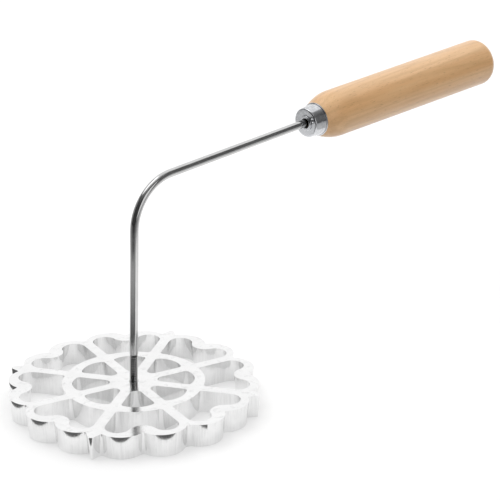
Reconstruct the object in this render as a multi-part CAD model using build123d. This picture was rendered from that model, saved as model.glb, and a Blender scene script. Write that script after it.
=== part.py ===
from build123d import *

import os
from math import atan2, cos, degrees, radians, sin, sqrt, tan

# A rosette iron: a cast aluminium flower mould, dipped in batter and then in hot oil, on the
# threaded foot of a steel rod that bends over into a ferruled beech handle.
#
# Millimetres and degrees. The origin is the centre of the mould's flat underside, +Z is up
# through the mould, and +X points towards the handle.

# Mould, as plan sizes at its machined top face
MOULD_HEIGHT = 13.8
DRAFT = 4.5                   # every cast wall leans this much, so that the metal thins downwards
CREST_RADIUS = 71.6           # lobe crests
LOBE_RADIUS = 14.0
LOBE_ANGLE = 10.7             # each cell's two lobes stand this far either side of its middle
VALLEY_FILLET = 0.9
SPOKE_VALLEY_FILLET = 2.5
RIB_TIP_RADIUS = 74.2         # four pointed ribs stand out between the lobes
RIB_HALF_ANGLE = 27.6
RIB_ROUNDING = 1.9
BODY_RADIUS = 60.0            # a disc well inside the lobes, which joins them
BOTTOM_EDGE_ROUNDING = 0.5

# Cells, the open spaces between hub, spokes, ring and rim
CELL_COUNT = 8
RIB_DIRECTION = 31.5          # the first ribbed spoke, counted from +X
SPOKE_HALF_WIDTH = 3.1
INNER_CELL_RADIUS = 34.8
INNER_CELL_END_CURVE = 14.0
INNER_CELL_TIP_ROUNDING = 3.4
INNER_CELL_CORNER_ROUNDING = 2.2
OUTER_CELL_START_RADIUS = 40.7
OUTER_CELL_START_CURVE = 34.0
OUTER_CELL_CORNER_ROUNDING = 1.8
CELL_LOBE_RADIUS = 7.0
CELL_LOBE_DISTANCE = 59.3     # from the mould's centre to the centre of a cell's lobe
CELL_CUSP_RADIUS = 57.5       # the rim swells in to here between a cell's two lobes

# Rod, a 3/16 inch wire with a coarse number 10 thread, which leans a little in its hole
ROD_RADIUS = 2.38
ROD_LEAN = 2.1                # out of square to the mould, towards the handle
CORNER_HEIGHT = 115.5         # along the rod, from the mould's top to where rod and arm lines meet
BEND_RADIUS = 29.0
BEND_ANGLE = 84.0
ARM_LENGTH = 134.0            # from that corner to the ferrule's front face
TANG_DEPTH = 62.0             # from the ferrule's front face to the rod's end inside the handle
ROD_END_CHAMFER = 0.6

# Thread
THREAD_RADIUS = 2.413
THREAD_ROOT_RADIUS = 1.79
THREAD_PITCH = 1.058
THREAD_FOOT_SHARE = 0.92      # of the pitch that the ridge's foot takes, and its flat crest
THREAD_CREST_SHARE = 0.14
THREAD_SUNK = 0.08            # the ridge's foot lies this deep inside the root
THREAD_SHOWING = 15.6         # bare thread above the mould
THREAD_ENGAGED = 10.0
THREAD_RUNOUT = 1.0
HOLE_DEPTH = 11.3
HOLE_CLEARANCE = 0.05
HOLE_MOUTH_CHAMFER = 0.35
DRILL_POINT_HEIGHT = 1.0
DRILL_POINT_RADIUS = 0.3

# Ferrule, a pressed and plated steel cup
FERRULE_LENGTH = 9.2
FERRULE_FRONT_RADIUS = 8.8
FERRULE_REAR_RADIUS = 9.8
FERRULE_WALL = 0.8
FERRULE_FRONT_ROUNDING = 0.9
FERRULE_BEAD_RADIUS = 0.45    # rolled bead round the rear edge
COLLAR_RADIUS = 4.7           # raised collar round the rod's hole
COLLAR_HEIGHT = 0.8
COLLAR_ROUNDING = 0.35
FERRULE_HOLE_RADIUS = 3.0
HOLE_OFFSET = 0.5             # hole and collar are pressed off centre, towards -Y
DIMPLE_RADIUS = 1.5           # one punched dimple near the edge of the face
DIMPLE_DISTANCE = 6.9
DIMPLE_DIRECTION = 246.0      # counted from straight down
DIMPLE_DEPTH = 0.9
DIMPLE_WALL = 0.5             # the sheet is stretched thinner there

# Handle, turned beech, slightly fuller towards its far end
HANDLE_DROOP = 0.6            # the wood is drilled a little out of line, so its far end hangs lower
HANDLE_NEAR_RADIUS = 14.3
HANDLE_FAR_RADIUS = 14.85
HANDLE_END = 167.4            # from the ferrule's front face to the far end
NECK_GAP = 3.2                # hollow left between the ferrule's face and the wood's neck
SHOULDER_START_RADIUS = 10.2
SHOULDER_LENGTH = 15.9
END_DOME_RISE = 6.0
END_ROUNDING = 5.5
TANG_HOLE_EXTRA = 2.0         # the drilled hole runs this far past the rod's end

CELL_ANGLE = 360 / CELL_COUNT
RIB_COUNT = CELL_COUNT // 2
ABOVE = (Align.CENTER, Align.CENTER, Align.MIN)
BELOW = (Align.CENTER, Align.CENTER, Align.MAX)


def polar(radius, angle):
    """A plan point at a radius and an angle from +X."""
    return Vector(radius * cos(radians(angle)), radius * sin(radians(angle)))


def middle_of_cell(index):
    """The direction of a cell's middle line. Ribbed and plain spokes take turns between them."""
    return RIB_DIRECTION + CELL_ANGLE * (index + 0.5)


def rib_direction(index):
    return RIB_DIRECTION + 2 * CELL_ANGLE * index


def corners_beside(face, directions, nearest, farthest):
    """The face's corners that lie between two angles, in degrees, from any of the directions."""
    found = []
    for corner in face.vertices():
        angle = degrees(atan2(corner.Y, corner.X))
        turns = [abs((angle - direction + 180) % 360 - 180) for direction in directions]
        if nearest <= min(turns) <= farthest:
            found.append(corner)
    return found


def mould_outline():
    """The flower's outline: sixteen lobes, four pointed ribs, and a valley between each."""
    middles = [middle_of_cell(index) for index in range(CELL_COUNT)]
    ribs = [rib_direction(index) for index in range(RIB_COUNT)]
    plain_spokes = [direction + CELL_ANGLE for direction in ribs]
    outline = Circle(BODY_RADIUS)
    lobe = Pos(CREST_RADIUS - LOBE_RADIUS, 0) * Rot(0, 0, 180) * Circle(LOBE_RADIUS)
    for direction in middles:
        outline += Rot(0, 0, direction - LOBE_ANGLE) * lobe
        outline += Rot(0, 0, direction + LOBE_ANGLE) * lobe
    sharp_tip = RIB_TIP_RADIUS + RIB_ROUNDING * (1 / sin(radians(RIB_HALF_ANGLE)) - 1)
    half_base = (sharp_tip - BODY_RADIUS) * tan(radians(RIB_HALF_ANGLE))
    rib = Polygon((sharp_tip, 0), (BODY_RADIUS, half_base), (BODY_RADIUS, -half_base), align=None)
    for direction in ribs:
        outline += Rot(0, 0, direction) * rib
    on_line = 0.5
    beside_rib = 6.0
    outline = fillet(corners_beside(outline, ribs, on_line, beside_rib), VALLEY_FILLET)
    outline = fillet(corners_beside(outline, ribs, 0, on_line), RIB_ROUNDING)
    outline = fillet(corners_beside(outline, middles, 0, on_line), VALLEY_FILLET)
    return fillet(corners_beside(outline, plain_spokes, 0, on_line), SPOKE_VALLEY_FILLET)


def spoke_side(along):
    """A point on a cell's right side, at a distance along the spoke that bounds it."""
    half = radians(CELL_ANGLE / 2)
    return Vector(
        along * sin(half) - SPOKE_HALF_WIDTH * cos(half),
        along * cos(half) + SPOKE_HALF_WIDTH * sin(half),
    )


def spoke_side_at_circle(centre_y, radius):
    """Where a cell's right side meets a circle that is centred on the cell's middle line."""
    half = radians(CELL_ANGLE / 2)
    lean = centre_y * cos(half)
    offset = SPOKE_HALF_WIDTH - centre_y * sin(half)
    return spoke_side(lean + sqrt(radius**2 - offset**2))


def mirrored(point):
    return Vector(-point.X, point.Y)


def inner_cell():
    """A fan with a rounded inner tip and a bowed outer end, drawn about the +Y axis."""
    end_centre = INNER_CELL_RADIUS - INNER_CELL_END_CURVE
    tip = Vector(0, SPOKE_HALF_WIDTH / sin(radians(CELL_ANGLE / 2)))
    corner = spoke_side_at_circle(end_centre, INNER_CELL_END_CURVE)
    face = make_face(
        [
            Line(tip, corner),
            ThreePointArc(corner, (0, INNER_CELL_RADIUS), mirrored(corner)),
            Line(mirrored(corner), tip),
        ]
    )
    outer_corners = face.vertices().sort_by(Axis.Y)[1:]
    face = fillet(outer_corners, INNER_CELL_CORNER_ROUNDING)
    return fillet(face.vertices().sort_by(Axis.Y)[0], INNER_CELL_TIP_ROUNDING)


def outer_cell():
    """A heart: bowed inner end, sides along the spokes, and two lobes with a cusp between."""
    half = radians(CELL_ANGLE / 2)
    reach = SPOKE_HALF_WIDTH + CELL_LOBE_RADIUS
    along = sqrt(CELL_LOBE_DISTANCE**2 - reach**2)
    across = Vector(-cos(half), sin(half))
    centre = Vector(along * sin(half), along * cos(half)) + across * reach
    # The swelling between the lobes touches both of them and passes through the cusp.
    rise = CELL_CUSP_RADIUS - centre.Y
    swell = (centre.X**2 + rise**2 - CELL_LOBE_RADIUS**2) / (2 * (CELL_LOBE_RADIUS - rise))
    swell_centre = Vector(0, CELL_CUSP_RADIUS + swell)
    side_end = spoke_side(along)
    lobe_end = centre + (swell_centre - centre).normalized() * CELL_LOBE_RADIUS
    crest = centre + ((side_end - centre) + (lobe_end - centre)).normalized() * -CELL_LOBE_RADIUS
    if crest.Y < centre.Y:
        crest = centre * 2 - crest
    start = spoke_side_at_circle(
        OUTER_CELL_START_RADIUS - OUTER_CELL_START_CURVE, OUTER_CELL_START_CURVE
    )
    face = make_face(
        [
            Line(start, side_end),
            ThreePointArc(side_end, crest, lobe_end),
            ThreePointArc(lobe_end, (0, CELL_CUSP_RADIUS), mirrored(lobe_end)),
            ThreePointArc(mirrored(lobe_end), mirrored(crest), mirrored(side_end)),
            Line(mirrored(side_end), mirrored(start)),
            ThreePointArc(mirrored(start), (0, OUTER_CELL_START_RADIUS), start),
        ]
    )
    inner_corners = face.vertices().sort_by(Axis.Y)[:2]
    return fillet(inner_corners, OUTER_CELL_CORNER_ROUNDING)


def rod_frame():
    """The frame of the leaning rod: its origin on the mould's top face, its Z along the rod."""
    return Location((0, 0, MOULD_HEIGHT), (0, ROD_LEAN, 0))


def tapped_hole():
    """The blind hole in the hub, drawn in the rod's frame: a bore, its drill point and its mouth."""
    radius = THREAD_RADIUS + HOLE_CLEARANCE
    bore = Pos(0, 0, -HOLE_DEPTH) * Cylinder(radius, HOLE_DEPTH + HOLE_MOUTH_CHAMFER, align=ABOVE)
    bore += Pos(0, 0, -HOLE_DEPTH) * Cone(
        DRILL_POINT_RADIUS, radius, DRILL_POINT_HEIGHT, align=BELOW
    )
    mouth_height = 2 * HOLE_MOUTH_CHAMFER
    return bore + Cone(radius, radius + mouth_height, mouth_height)


def rosette_mould():
    top = Pos(0, 0, MOULD_HEIGHT)
    mould = extrude(top * mould_outline(), amount=-MOULD_HEIGHT, taper=DRAFT)
    mould = fillet(mould.faces().sort_by(Axis.Z)[0].edges(), BOTTOM_EDGE_ROUNDING)
    for face in (inner_cell(), outer_cell()):
        cell = extrude(top * face, amount=-MOULD_HEIGHT, taper=-DRAFT)
        for index in range(CELL_COUNT):
            mould -= Rot(0, 0, middle_of_cell(index) - 90) * cell
    return mould - rod_frame() * tapped_hole()


def arm_direction():
    """Along the arm, as seen in the rod's frame."""
    return Vector(sin(radians(BEND_ANGLE)), 0, cos(radians(BEND_ANGLE)))


def arm_frame():
    """The arm's frame: its origin at the ferrule's front face, its Z along the arm."""
    place = Vector(0, 0, CORNER_HEIGHT) + arm_direction() * ARM_LENGTH
    return rod_frame() * Location(place, (0, BEND_ANGLE, 0))


def handle_frame():
    """The handle's and ferrule's frame, which droops a little from the arm's line."""
    return arm_frame() * Location((0, 0, 0), (0, HANDLE_DROOP, 0))


def thread():
    """The rod's threaded foot: one helical ridge on a root cylinder, cut square at both ends."""
    length = THREAD_ENGAGED + THREAD_SHOWING
    root = Cylinder(THREAD_ROOT_RADIUS, length, align=ABOVE)
    helix = Helix(
        THREAD_PITCH, length + THREAD_PITCH, THREAD_ROOT_RADIUS, center=(0, 0, -THREAD_PITCH / 2)
    )
    half_foot = THREAD_PITCH * THREAD_FOOT_SHARE / 2
    half_crest = THREAD_PITCH * THREAD_CREST_SHARE / 2
    depth = THREAD_RADIUS - THREAD_ROOT_RADIUS
    section = Polygon(
        (-THREAD_SUNK, -half_foot),
        (depth, -half_crest),
        (depth, half_crest),
        (-THREAD_SUNK, half_foot),
        align=None,
    )
    section_plane = Plane(origin=helix @ 0, x_dir=(1, 0, 0), z_dir=helix % 0)
    ridge = sweep(section_plane * section, path=helix, is_frenet=True)
    envelope = Cylinder(2 * THREAD_RADIUS, length, align=ABOVE)
    return Pos(0, 0, -THREAD_ENGAGED) * ((root + ridge) & envelope)


def bent_rod():
    foot = Vector(0, 0, THREAD_SHOWING + THREAD_RUNOUT)
    corner = Vector(0, 0, CORNER_HEIGHT)
    end = corner + arm_direction() * (ARM_LENGTH + TANG_DEPTH)
    path = FilletPolyline(foot, corner, end, radius=BEND_RADIUS)
    section = Plane(origin=foot, z_dir=(0, 0, 1)) * Circle(ROD_RADIUS)
    rod = sweep(section, path=path)
    rod = chamfer(rod.edges().sort_by(Axis.X)[-1], ROD_END_CHAMFER)
    rod += Pos(0, 0, THREAD_SHOWING) * Cone(
        THREAD_ROOT_RADIUS, ROD_RADIUS, THREAD_RUNOUT, align=ABOVE
    )
    return rod_frame() * (rod + thread())


def ferrule_inside():
    """The room inside the ferrule, which the handle's neck fills but for a gap at the front."""
    return Pos(0, 0, FERRULE_WALL) * Cone(
        FERRULE_FRONT_RADIUS - FERRULE_WALL,
        FERRULE_REAR_RADIUS - FERRULE_WALL,
        FERRULE_LENGTH - FERRULE_WALL,
        align=ABOVE,
    )


def ferrule():
    """A flared cup with a rounded front edge, a collar round the rod's hole and a rolled rear bead."""
    cup = Cone(FERRULE_FRONT_RADIUS, FERRULE_REAR_RADIUS, FERRULE_LENGTH, align=ABOVE)
    front_edge = cup.edges().filter_by(GeomType.CIRCLE).sort_by(Axis.Z)[0]
    cup = fillet(front_edge, FERRULE_FRONT_ROUNDING)
    cup += Pos(0, -HOLE_OFFSET, -COLLAR_HEIGHT) * Cylinder(
        COLLAR_RADIUS, COLLAR_HEIGHT + FERRULE_WALL, align=ABOVE
    )
    cup -= Pos(0, -HOLE_OFFSET, 0) * Cylinder(FERRULE_HOLE_RADIUS, 4 * FERRULE_WALL)
    collar_edges = cup.edges().filter_by(GeomType.CIRCLE).group_by(Axis.Z)[0]
    cup = fillet(collar_edges, COLLAR_ROUNDING)
    bead_height = FERRULE_LENGTH - FERRULE_BEAD_RADIUS
    cup += Pos(0, 0, bead_height) * Torus(FERRULE_REAR_RADIUS, FERRULE_BEAD_RADIUS)
    ball = (DIMPLE_RADIUS**2 + DIMPLE_DEPTH**2) / (2 * DIMPLE_DEPTH)
    across = polar(DIMPLE_DISTANCE, DIMPLE_DIRECTION)
    dimple_place = Pos(across.X, across.Y, DIMPLE_DEPTH - ball)
    cup -= ferrule_inside() - dimple_place * Sphere(ball + DIMPLE_WALL)
    cup -= dimple_place * Sphere(ball)
    return handle_frame() * cup


def turned_grip():
    """The handle's outside: a rounded shoulder, a barrel that swells a little, and a domed end."""
    shoulder_start = (SHOULDER_START_RADIUS, FERRULE_LENGTH)
    shoulder_end = (HANDLE_NEAR_RADIUS, FERRULE_LENGTH + SHOULDER_LENGTH)
    barrel_end = (HANDLE_FAR_RADIUS, HANDLE_END - END_DOME_RISE)
    dome_radius = (HANDLE_FAR_RADIUS**2 + END_DOME_RISE**2) / (2 * END_DOME_RISE)
    dome_spread = degrees(atan2(HANDLE_FAR_RADIUS, dome_radius - END_DOME_RISE))
    profile = [
        Line((0, FERRULE_LENGTH), shoulder_start),
        TangentArc(shoulder_end, shoulder_start, tangent=(0, -1)),
        Line(shoulder_end, barrel_end),
        CenterArc((0, HANDLE_END - dome_radius), dome_radius, 90 - dome_spread, dome_spread),
        Line((0, HANDLE_END), (0, FERRULE_LENGTH)),
    ]
    face = make_face(profile)
    end_corner = face.vertices().sort_by_distance(barrel_end)[0]
    face = fillet(end_corner, END_ROUNDING)
    return revolve(Plane.XZ * face, axis=Axis.Z)


def wooden_handle():
    """The turned grip with its neck in the ferrule, drilled along the rod's own line."""
    neck = ferrule_inside() & Pos(0, 0, NECK_GAP) * Cylinder(
        FERRULE_REAR_RADIUS, FERRULE_LENGTH, align=ABOVE
    )
    tang_hole = Cylinder(ROD_RADIUS, TANG_DEPTH + TANG_HOLE_EXTRA, align=ABOVE)
    return handle_frame() * (turned_grip() + neck) - arm_frame() * tang_hole


PIECES = {
    "rosette_mould": rosette_mould,
    "bent_rod": bent_rod,
    "ferrule": ferrule,
    "wooden_handle": wooden_handle,
}

os.makedirs("parts", exist_ok=True)
for name, make in PIECES.items():
    piece = make()
    piece.label = name
    export_step(piece, f"parts/{name}.step")
    box = piece.bounding_box()
    print(name, "volume", round(piece.volume), "box", box.min, box.max)
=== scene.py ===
import math

import bpy
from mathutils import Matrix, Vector


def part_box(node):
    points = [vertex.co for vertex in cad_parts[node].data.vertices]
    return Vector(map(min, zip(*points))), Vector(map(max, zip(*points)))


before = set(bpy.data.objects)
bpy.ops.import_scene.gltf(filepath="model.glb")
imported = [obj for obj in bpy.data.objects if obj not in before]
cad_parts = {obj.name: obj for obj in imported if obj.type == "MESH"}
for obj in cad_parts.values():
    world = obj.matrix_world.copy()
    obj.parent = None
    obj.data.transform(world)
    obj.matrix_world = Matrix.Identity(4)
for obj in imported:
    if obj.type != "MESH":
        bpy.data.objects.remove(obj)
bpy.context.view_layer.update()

# A rosette iron on a plain pale floor: cast aluminium mould, steel rod, plated ferrule and beech
# handle. Metres, in the part's own frame: +Z up, +X towards the handle.

MM = 0.001

# The rod, as the part has it: it leans towards the handle, bends over and runs on as the arm
MOULD_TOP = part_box("rosette_mould")[1][2]
ROD_LEAN = math.radians(2.1)
CORNER_HEIGHT = 115.5 * MM              # along the rod, from the mould's top to the arm's line
BEND_ANGLE = math.radians(84.0)
BEND_RADIUS = 29.0 * MM
ARM_RISE = math.pi / 2 - ROD_LEAN - BEND_ANGLE
THREAD_LENGTH = 16.6 * MM               # along the rod, above the mould's top, with its runout
DARK_GROOVE_RADIUS = 1.95 * MM          # the thread's grooves are darkest up to here
BRIGHT_RIDGE_RADIUS = 2.15 * MM         # its ridges are bright from here

# The handle droops a little from the arm's line
HANDLE_DROOP = math.radians(0.6)
HANDLE_RISE = ARM_RISE - HANDLE_DROOP

# The photographer's camera
CAMERA_PLACE = (-0.55875, -0.67335, 0.41891)
CAMERA_HEADING = math.radians(45.976)   # the way it looks, counted from +X
CAMERA_DROP = math.radians(20.472)      # below level
FOCAL_PIXELS = 1685.0
PHOTO_WIDTH = 500.0
SENSOR_WIDTH = 36.0
CLIP_START = 0.01
CLIP_END = 50.0

# The floor. It glows for the camera and in reflections, where its tone and its glow add up to white.
FLOOR_HALF_WIDTH = 6.0
FLOOR_TONE = 0.6
FLOOR_GLOW = 0.48

# The dark surroundings, out of the picture, which show in reflections: each edge's radius and height
ROOM_RADIUS = 1.7
WALL_FOOT = (ROOM_RADIUS, 0.0)
EAVES = (ROOM_RADIUS, 1.2)
RIDGE = (0.5, 2.5)
TABLE_HEIGHT = 0.5 * MM
NEAR_EDGE = (0.0855, TABLE_HEIGHT)      # its reflection darkens the top edge of the front lobes
FAR_EDGE = (0.28, TABLE_HEIGHT)
TABLE_END = (ROOM_RADIUS, TABLE_HEIGHT)
CARD_STEPS = 48

# The one lamp
LAMP_PLACE = (-0.3, 0.6, 1.5)
LAMP_TARGET = (0.05, 0.0, 0.05)
LAMP_SIZE = 1.2
LAMP_POWER = 5.0

# Most of a noise's values lie between these
NOISE_LOW = 0.3
NOISE_HIGH = 0.7

# Patterns of the materials
TURNING_LINES = 2200.0                  # in a metre, across the mould's top
DRAW_LINE_CHANGE = 0.004                # along the rod, as a share of the change across it
GROWTH_RINGS = 9.0                      # as the growth noise goes from 0 to 1
HALF_RING = 0.5

# Sockets of a colour mix, which share their names with those of other mixes
MIX_SHARE = 0
MIX_FIRST = 6
MIX_SECOND = 7
MIX_RESULT = 2


def direction(rise, heading=0.0):
    """A unit vector from a rise above level and a heading, counted from +X."""
    return Vector(
        (math.cos(heading) * math.cos(rise), math.sin(heading) * math.cos(rise), math.sin(rise))
    )


def link(obj):
    bpy.context.scene.collection.objects.link(obj)
    return obj


def add_camera():
    data = bpy.data.cameras.new("camera")
    data.sensor_width = SENSOR_WIDTH
    data.lens = FOCAL_PIXELS / PHOTO_WIDTH * SENSOR_WIDTH
    data.clip_start = CLIP_START
    data.clip_end = CLIP_END
    camera = link(bpy.data.objects.new("camera", data))
    camera.location = CAMERA_PLACE
    camera.rotation_euler = direction(-CAMERA_DROP, CAMERA_HEADING).to_track_quat("-Z", "Y").to_euler()
    bpy.context.scene.camera = camera


class Nodes:
    """Shorthand for the node tree of one material or world."""

    def __init__(self, tree):
        self.tree = tree
        tree.nodes.clear()

    def add(self, kind, inputs=None, **settings):
        node = self.tree.nodes.new(kind)
        for name, value in settings.items():
            setattr(node, name, value)
        for name, value in (inputs or {}).items():
            self.feed(node.inputs[name], value)
        return node

    def feed(self, socket, value):
        if isinstance(value, bpy.types.NodeSocket):
            self.tree.links.new(value, socket)
        else:
            socket.default_value = value

    def show(self, shader, output="ShaderNodeOutputMaterial"):
        self.feed(self.add(output).inputs["Surface"], shader.outputs[0])

    def surface(self, **inputs):
        """A principled surface; an input's name has an underscore for each blank."""
        self.show(self.add("ShaderNodeBsdfPrincipled", {n.replace("_", " "): v for n, v in inputs.items()}))

    def object_place(self):
        return self.add("ShaderNodeTexCoord").outputs["Object"]

    def split(self, vector):
        return self.add("ShaderNodeSeparateXYZ", {"Vector": vector}).outputs

    def join(self, x, y=0.0, z=0.0):
        return self.add("ShaderNodeCombineXYZ", {"X": x, "Y": y, "Z": z}).outputs[0]

    def math(self, operation, *values, clamp=False):
        node = self.add("ShaderNodeMath", operation=operation, use_clamp=clamp)
        for socket, value in zip(node.inputs, values):
            self.feed(socket, value)
        return node.outputs[0]

    def vector(self, operation, *values):
        node = self.add("ShaderNodeVectorMath", operation=operation)
        for socket, value in zip(node.inputs, values):
            self.feed(socket, value)
        return node.outputs["Value"] if operation in ("DOT_PRODUCT", "LENGTH") else node.outputs[0]

    def rotate(self, vector, kind, angle):
        inputs = {"Vector": vector, "Angle": angle}
        return self.add("ShaderNodeVectorRotate", inputs, rotation_type=kind).outputs[0]

    def weigh(self, *terms):
        """The sum of some values, each given with its weight."""
        total = None
        for value, weight in terms:
            part = self.math("MULTIPLY", value, weight)
            total = part if total is None else self.math("ADD", total, part)
        return total

    def between(self, value, low, high, start=0.0, end=1.0):
        """A smooth step from start, at low and below, to end, at high and above."""
        node = self.add(
            "ShaderNodeMapRange",
            {"Value": value, "From Min": low, "From Max": high, "To Min": start, "To Max": end},
            interpolation_type="SMOOTHSTEP",
        )
        return node.outputs[0]

    def noise(self, place, scale, detail, roughness, distortion=0.0):
        """Noise with about as many features in a metre as its scale says."""
        inputs = {
            "Vector": place,
            "Scale": scale,
            "Detail": detail,
            "Roughness": roughness,
            "Distortion": distortion,
        }
        return self.add("ShaderNodeTexNoise", inputs).outputs["Fac"]

    def grain(self, place, axis, along, across, detail, roughness, distortion=0.0):
        """Noise drawn out along an axis, with one scale along it and another across it."""
        scales = [along if letter == axis else across for letter in "XYZ"]
        return self.noise(self.vector("MULTIPLY", place, scales), 1.0, detail, roughness, distortion)

    def mix(self, share, first, second):
        node = self.add("ShaderNodeMix", data_type="RGBA")
        self.feed(node.inputs[MIX_SHARE], share)
        self.feed(node.inputs[MIX_FIRST], first)
        self.feed(node.inputs[MIX_SECOND], second)
        return node.outputs[MIX_RESULT]

    def bump(self, height, distance, strength):
        inputs = {"Height": height, "Distance": distance, "Strength": strength}
        return self.add("ShaderNodeBump", inputs).outputs[0]


def new_material(name):
    material = bpy.data.materials.new(name)
    material.use_nodes = True
    return material, Nodes(material.node_tree)


def colour(red, green, blue):
    return (red, green, blue, 1.0)


def grey(tone):
    return colour(tone, tone, tone)


def distance_from_axis(n, place):
    return n.vector("LENGTH", n.vector("MULTIPLY", place, (1.0, 1.0, 0.0)))


def mould_walls(n, place, blotches):
    """The walls' tone, roughness and height: upright streaks over soft ripples and fine grit."""
    dull, bright, brightest = grey(0.78), grey(0.84), grey(0.88)
    streaks = n.grain(place, "Z", along=14.0, across=1000.0, detail=2.0, roughness=0.5)
    ripples = n.grain(place, "Z", along=15.0, across=330.0, detail=2.0, roughness=0.5)
    grit = n.noise(place, scale=2600.0, detail=2.0, roughness=0.6)
    tone = n.mix(n.between(streaks, NOISE_LOW, NOISE_HIGH), dull, bright)
    tone = n.mix(n.between(blotches, 0.4, NOISE_HIGH), tone, brightest)
    rough = n.between(streaks, NOISE_LOW, NOISE_HIGH, start=0.15, end=0.09)
    return tone, rough, n.weigh((streaks, 0.09), (ripples, 1.0), (grit, 0.05))


def mould_top(n, place, blotches):
    """The machined top's tone, roughness and height: turning lines under faint grey stains."""
    dull, bright, stained = grey(0.90), grey(0.95), grey(0.74)
    stains = n.noise(place, scale=240.0, detail=4.0, roughness=0.6)
    radius = n.join(n.math("MULTIPLY", distance_from_axis(n, place), TURNING_LINES))
    turning_lines = n.noise(radius, scale=1.0, detail=3.0, roughness=0.7)
    tone = n.mix(n.between(blotches, NOISE_LOW, NOISE_HIGH), dull, bright)
    tone = n.mix(n.between(stains, 0.52, 0.75, end=0.6), tone, stained)
    rough = n.between(stains, NOISE_LOW, NOISE_HIGH, start=0.12, end=0.2)
    return tone, rough, n.weigh((turning_lines, 0.03), (blotches, 0.25))


def cast_aluminium():
    """Bright cast walls, and a machined top that is almost a mirror."""
    material, n = new_material("cast_aluminium")
    coordinates = n.add("ShaderNodeTexCoord").outputs
    place = coordinates["Object"]
    top = n.between(n.split(coordinates["Normal"])["Z"], 0.9, 0.99)
    walls = n.math("SUBTRACT", 1.0, top)
    blotches = n.noise(place, scale=70.0, detail=3.0, roughness=0.55)
    wall_tone, wall_rough, wall_height = mould_walls(n, place, blotches)
    top_tone, top_rough, top_height = mould_top(n, place, blotches)
    height = n.weigh((top_height, top), (wall_height, walls))
    n.surface(
        Base_Color=n.mix(top, wall_tone, top_tone),
        Metallic=1.0,
        Roughness=n.weigh((top_rough, top), (wall_rough, walls)),
        Normal=n.bump(height, distance=0.06 * MM, strength=0.7),
    )
    return material


def distance_from_bend(n, place):
    """How far out a place in the rod is from the bend's centre. Beyond the bend's two ends it is
    measured square to the upright or the arm, so that it stays the same all along the rod."""
    upright, upright_outwards = direction(math.pi / 2 - ROD_LEAN), direction(math.pi - ROD_LEAN)
    arm, arm_outwards = direction(ARM_RISE), direction(ARM_RISE + math.pi / 2)
    corner = Vector((0.0, 0.0, MOULD_TOP)) + CORNER_HEIGHT * upright
    bend_start = corner - BEND_RADIUS * math.tan(BEND_ANGLE / 2) * upright
    centre = bend_start - BEND_RADIUS * upright_outwards
    offset = n.vector("MULTIPLY", n.vector("SUBTRACT", place, centre), (1.0, 0.0, 1.0))
    distance = n.vector("LENGTH", offset)
    before_bend = n.math("LESS_THAN", n.vector("DOT_PRODUCT", offset, upright), 0.0)
    after_bend = n.math("GREATER_THAN", n.vector("DOT_PRODUCT", offset, arm), 0.0)
    for beyond, outwards in ((before_bend, upright_outwards), (after_bend, arm_outwards)):
        change = n.math("SUBTRACT", n.vector("DOT_PRODUCT", offset, outwards), distance)
        distance = n.math("ADD", distance, n.math("MULTIPLY", beyond, change))
    return distance


def thread_grooves(n, place):
    """How deep in a groove of the thread a place is, from 0 to 1."""
    from_hub = n.vector("SUBTRACT", place, (0.0, 0.0, MOULD_TOP))
    axis = direction(math.pi / 2 - ROD_LEAN)
    aside = n.vector("LENGTH", n.vector("CROSS_PRODUCT", from_hub, axis))
    threaded = n.math("LESS_THAN", n.vector("DOT_PRODUCT", from_hub, axis), THREAD_LENGTH)
    depth = n.between(aside, DARK_GROOVE_RADIUS, BRIGHT_RIDGE_RADIUS, start=1.0, end=0.0)
    return n.math("MULTIPLY", threaded, depth)


def steel_wire():
    """Bright drawn wire with lengthwise draw lines, and dark grooves in its thread."""
    material, n = new_material("steel_wire")
    dull, bright = grey(0.62), grey(0.72)
    # The thread's grooves are coloured near-black, darkest towards the bottoms of the grooves
    draw_line, groove_colour = grey(0.2), colour(0.05, 0.049, 0.047)
    place = n.object_place()
    parts = n.split(place)
    slowly = n.math("MULTIPLY", parts["Z"], DRAW_LINE_CHANGE)
    section = n.join(distance_from_bend(n, place), parts["Y"], slowly)
    lines = n.noise(section, scale=1500.0, detail=2.0, roughness=0.5)
    smears = n.noise(place, scale=60.0, detail=3.0, roughness=0.6)
    pits = n.noise(place, scale=2500.0, detail=2.0, roughness=0.6)
    grooves = thread_grooves(n, place)
    tone = n.mix(n.between(smears, 0.35, NOISE_HIGH), dull, bright)
    tone = n.mix(n.between(lines, 0.35, 0.65), n.mix(share=0.15, first=tone, second=draw_line), tone)
    rough = n.between(smears, NOISE_LOW, NOISE_HIGH, start=0.10, end=0.16)
    n.surface(
        # near-black colour in the bottoms of the thread's grooves
        Base_Color=n.mix(grooves, tone, groove_colour),
        Metallic=1.0,
        Roughness=n.weigh((rough, 1.0), (grooves, 0.3)),
        Normal=n.bump(n.weigh((lines, 1.0), (pits, 0.15)), distance=0.012 * MM, strength=0.7),
    )
    return material


def plated_steel():
    """Thin bright plating over pressed steel, a little dented and clouded."""
    material, n = new_material("plated_steel")
    clouded, clear = colour(0.60, 0.61, 0.63), colour(0.74, 0.75, 0.77)
    place = n.object_place()
    dents = n.noise(place, scale=200.0, detail=2.0, roughness=0.5)
    clouds = n.noise(place, scale=600.0, detail=3.0, roughness=0.6)
    n.surface(
        Base_Color=n.mix(n.between(clouds, 0.35, NOISE_HIGH), clouded, clear),
        Metallic=1.0,
        Roughness=n.between(clouds, NOISE_LOW, NOISE_HIGH, start=0.12, end=0.22),
        Normal=n.bump(dents, distance=0.07 * MM, strength=0.5),
    )
    return material


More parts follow.
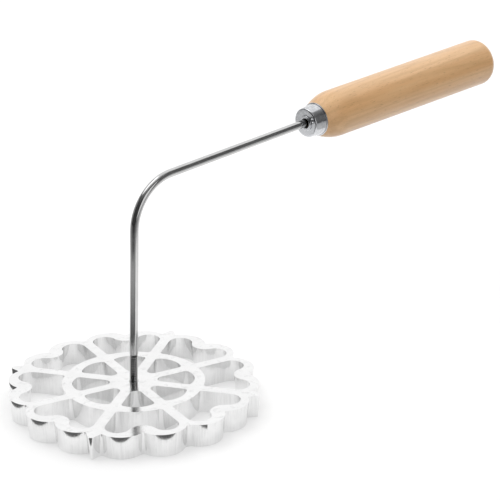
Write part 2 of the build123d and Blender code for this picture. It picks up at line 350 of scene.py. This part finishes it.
def beech():
    """Lacquered beech: pale bands and rings along the handle, with fine fibres and short dark flecks."""
    material, n = new_material("beech")
    darker, lighter = colour(0.84, 0.48, 0.215), colour(0.92, 0.575, 0.29)
    ring_brown, fibre_brown = colour(0.62, 0.34, 0.13), colour(0.62, 0.34, 0.14)
    fleck_brown = colour(0.42, 0.20, 0.07)
    place = n.rotate(n.object_place(), "Y_AXIS", HANDLE_RISE)
    bands = n.grain(place, "X", along=9.0, across=130.0, detail=3.0, roughness=0.5)
    growth = n.grain(place, "X", along=4.0, across=70.0, detail=2.0, roughness=0.4, distortion=0.2)
    rings = n.math("PINGPONG", n.math("MULTIPLY", growth, GROWTH_RINGS), HALF_RING)
    fibres = n.grain(place, "X", along=60.0, across=2400.0, detail=3.0, roughness=0.6)
    flecks = n.grain(place, "X", along=230.0, across=2600.0, detail=2.0, roughness=0.5)
    tone = n.mix(n.between(bands, NOISE_LOW, NOISE_HIGH), darker, lighter)
    tone = n.mix(n.between(rings, 0.15, HALF_RING, end=0.3), tone, ring_brown)
    tone = n.mix(n.between(fibres, 0.45, 0.8, end=0.35), tone, fibre_brown)
    tone = n.mix(n.between(flecks, 0.62, 0.72, end=0.6), tone, fleck_brown)
    n.surface(
        Base_Color=tone,
        Metallic=0.0,
        Roughness=n.between(fibres, NOISE_LOW, NOISE_HIGH, start=0.34, end=0.46),
        Normal=n.bump(n.weigh((fibres, 1.0), (flecks, -0.4)), distance=0.02 * MM, strength=0.35),
        Coat_Weight=0.6,
        Coat_Roughness=0.3,
    )
    return material


def pale_floor():
    """A matt white that glows for the camera and in reflections, and still holds a shadow."""
    material, n = new_material("pale_floor")
    matt = n.add("ShaderNodeBsdfDiffuse", {"Color": grey(FLOOR_TONE)})
    rays = n.add("ShaderNodeLightPath").outputs
    seen = n.math("ADD", rays["Is Camera Ray"], rays["Is Glossy Ray"], clamp=True)
    seen = n.math("ADD", seen, rays["Is Transmission Ray"], clamp=True)
    strength = n.math("MULTIPLY", seen, FLOOR_GLOW)
    light = n.add("ShaderNodeEmission", {"Color": grey(1.0), "Strength": strength})
    both = n.add("ShaderNodeAddShader")
    for socket, shader in zip(both.inputs, (matt, light)):
        n.feed(socket, shader.outputs[0])
    n.show(both)
    return material


def add_floor():
    half = FLOOR_HALF_WIDTH
    corners = [(-half, -half, 0), (half, -half, 0), (half, half, 0), (-half, half, 0)]
    mesh = bpy.data.meshes.new("floor")
    mesh.from_pydata(corners, [], [(0, 1, 2, 3)])
    floor = link(bpy.data.objects.new("floor", mesh))
    mesh.materials.append(pale_floor())


def band(name, first, last, inner, outer):
    """A mesh round the object from a first to a last heading, between an inner and an outer edge."""
    corners, faces = [], []
    for step in range(CARD_STEPS + 1):
        angle = first + (last - first) * step / CARD_STEPS
        for radius, height in (inner, outer):
            corners.append((radius * math.cos(angle), radius * math.sin(angle), height))
        if step:
            end = len(corners) - 1
            faces.append((end - 3, end - 1, end, end - 2))
    mesh = bpy.data.meshes.new(name)
    mesh.from_pydata(corners, [], faces)
    return mesh


def add_card(name, headings, inner, outer, tone, side_tone=None, far_tone=None, shades=True):
    """A dark card of the studio, out of the picture, between two headings in degrees. Its tone can
    change smoothly from the middle of its headings to both sides, or from its inner to its outer
    edge. Where it shades, it also darkens what the matt surfaces get."""
    first, last = (math.radians(heading) for heading in headings)
    material, n = new_material(name)
    place = n.object_place()
    shown = grey(tone)
    if far_tone is not None:
        shown = n.mix(n.between(distance_from_axis(n, place), inner[0], outer[0]), shown, grey(far_tone))
    if side_tone is not None:
        middle = (first + last) / 2
        parts = n.split(n.rotate(place, "Z_AXIS", -middle))
        aside = n.math("ABSOLUTE", n.math("ARCTAN2", parts["Y"], parts["X"]))
        shown = n.mix(n.between(aside, 0.0, last - middle), shown, grey(side_tone))
    n.show(n.add("ShaderNodeBsdfDiffuse", {"Color": shown}))
    mesh = band(name, first, last, inner, outer)
    mesh.materials.append(material)
    card = link(bpy.data.objects.new(name, mesh))
    card.visible_camera = False
    card.visible_shadow = False
    card.visible_diffuse = shades


def add_lamp():
    data = bpy.data.lights.new("key", "AREA")
    data.shape = "DISK"
    data.size = LAMP_SIZE
    data.energy = LAMP_POWER
    lamp = link(bpy.data.objects.new("key", data))
    lamp.location = LAMP_PLACE
    looks = Vector(LAMP_TARGET) - Vector(LAMP_PLACE)
    lamp.rotation_euler = looks.to_track_quat("-Z", "Y").to_euler()
    lamp.visible_camera = False


def add_world():
    world = bpy.data.worlds.new("studio")
    bpy.context.scene.world = world
    world.use_nodes = True
    n = Nodes(world.node_tree)
    sky = n.add("ShaderNodeBackground", {"Color": grey(1.0), "Strength": 1.0})
    n.show(sky, "ShaderNodeOutputWorld")


def add_studio():
    add_world()
    add_floor()
    add_card("dark_wall", (142, 252), WALL_FOOT, EAVES, tone=0.08)
    add_card("left_wall", (95, 142), WALL_FOOT, EAVES, tone=0.45)
    add_card("right_wall", (287, 345), WALL_FOOT, EAVES, tone=0.2)
    add_card("dark_slope", (80, 345), EAVES, RIDGE, tone=0.15, far_tone=0.85, shades=False)
    add_card("near_table", (115, 264), NEAR_EDGE, FAR_EDGE, tone=0.12, far_tone=0.5, shades=False)
    add_card("far_table", (75, 340), FAR_EDGE, TABLE_END, tone=0.06, side_tone=0.6, shades=False)
    add_lamp()


def paint(node, material):
    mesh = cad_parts[node].data
    mesh.materials.clear()
    mesh.materials.append(material)


bpy.context.scene.view_settings.view_transform = "Standard"
add_camera()
add_studio()
paint("rosette_mould", cast_aluminium())
paint("bent_rod", steel_wire())
paint("ferrule", plated_steel())
paint("wooden_handle", beech())
